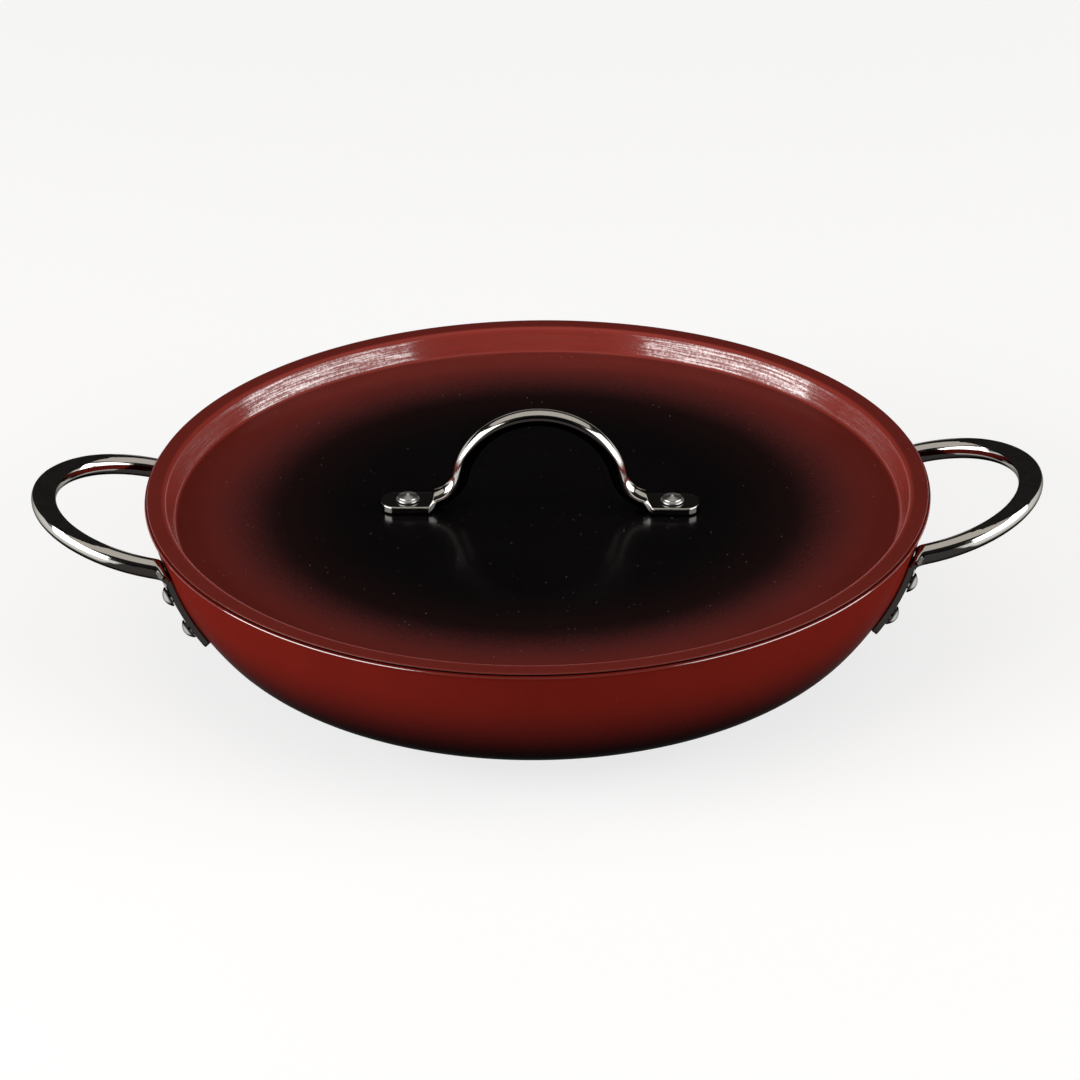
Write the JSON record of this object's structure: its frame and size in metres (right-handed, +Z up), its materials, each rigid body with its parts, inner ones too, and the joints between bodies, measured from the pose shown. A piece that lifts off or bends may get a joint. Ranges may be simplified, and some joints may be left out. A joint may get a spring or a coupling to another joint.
{
  "type": "saute pan",
  "caption": "Shallow round enamelled pan with looped steel side handles and a recessed lid that lifts off by an arched rod handle.",
  "frame": {"origin": "on the ground below the centre of the bowl", "axes": "+X from the left side handle to the right one, +Z up, -Y towards the viewer of the picture"},
  "size_m": [0.3626, 0.2816, 0.0909],
  "materials": {
    "enamel": "glossy red enamel that fades to black in the middle of the lid and at the foot of the bowl",
    "polished_steel": "mirror-polished stainless steel",
    "rivet_steel": "bright drawn steel",
    "base_steel": "circular brushed stainless steel",
    "core": "plain rolled aluminium, hidden"
  },
  "bodies": {
    "pan": {"pan_shell": "enamel", "base_core": "core", "base_cap": "base_steel", "left_handle": "polished_steel", "right_handle": "polished_steel", "left_front_upper_rivet": "rivet_steel", "left_front_lower_rivet": "rivet_steel", "left_back_upper_rivet": "rivet_steel", "left_back_lower_rivet": "rivet_steel", "right_front_upper_rivet": "rivet_steel", "right_front_lower_rivet": "rivet_steel", "right_back_upper_rivet": "rivet_steel", "right_back_lower_rivet": "rivet_steel"},
    "lid": {"lid_shell": "enamel", "lid_handle": "polished_steel", "lid_rivet_left": "rivet_steel", "lid_rivet_right": "rivet_steel"}
  },
  "joints": [
    {"name": "lid_lift", "type": "slide", "parent": "pan", "child": "lid", "axis": [0, 0, 1], "range_m": [0, 0.1]}
  ]
}
